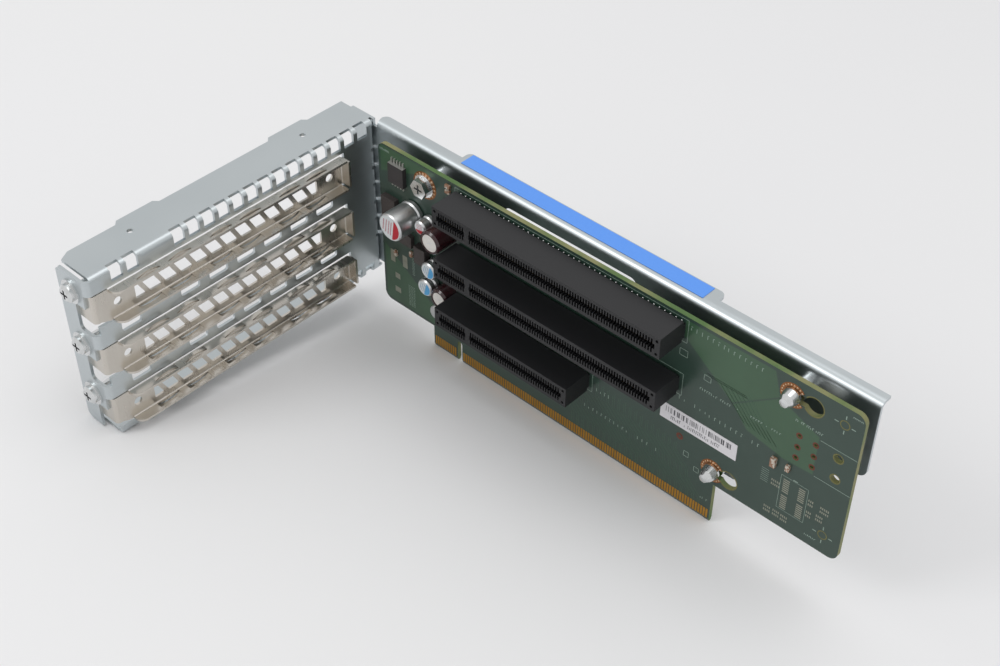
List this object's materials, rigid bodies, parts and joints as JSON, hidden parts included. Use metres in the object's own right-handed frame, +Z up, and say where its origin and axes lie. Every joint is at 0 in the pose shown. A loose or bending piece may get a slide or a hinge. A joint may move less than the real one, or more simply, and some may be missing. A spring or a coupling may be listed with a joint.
{
  "type": "server riser cage bracket",
  "caption": "Folded sheet-metal riser cage: vented slot covers on the rear panel, riser board with vertical card sockets on the back plate.",
  "frame": {"origin": "middle of the board's bottom contact edge, where it enters the system board's connector", "axes": "+X along the board away from the rear panel, -Y towards the cards, +Z up out of the connector"},
  "size_m": [0.2099, 0.1246, 0.074],
  "materials": {
    "zinc_sheet": "satin zinc plate",
    "nickel_sheet": "bright nickel plate",
    "rivet_steel": "satin",
    "screw_steel": "bright",
    "board_laminate": "satin solder mask",
    "contact_gold": "gold plate",
    "socket_plastic": "fine matte",
    "can_aluminium": "satin",
    "sleeve_plastic": "gloss",
    "chip_resin": "matte",
    "chip_ceramic": "matte",
    "white_label": "matte",
    "blue_label": "matte"
  },
  "bodies": {
    "root": {"rear_panel": "zinc_sheet", "back_plate": "zinc_sheet", "joining_rivets": "rivet_steel", "touch_label": "blue_label", "slot_cover_1": "nickel_sheet", "slot_cover_2": "nickel_sheet", "slot_cover_3": "nickel_sheet", "cover_screw_1": "screw_steel", "cover_screw_2": "screw_steel", "cover_screw_3": "screw_steel", "board_standoff": "rivet_steel", "upper_stud": "screw_steel", "lower_stud": "screw_steel", "board_screw": "screw_steel", "riser_board": "board_laminate", "edge_contacts": "contact_gold", "socket_1": "socket_plastic", "socket_2": "socket_plastic", "socket_3": "socket_plastic", "socket_contacts_1": "contact_gold", "socket_contacts_2": "contact_gold", "socket_contacts_3": "contact_gold", "big_capacitor": "can_aluminium", "small_capacitor": "can_aluminium", "wrapped_capacitor_1": "sleeve_plastic", "wrapped_capacitor_2": "sleeve_plastic", "marked_capacitors": "can_aluminium", "low_capacitor": "can_aluminium", "driver_ic": "chip_resin", "power_blocks": "chip_resin", "small_chips": "chip_ceramic", "barcode_label": "white_label", "part_label": "white_label"}
  },
  "joints": []
}
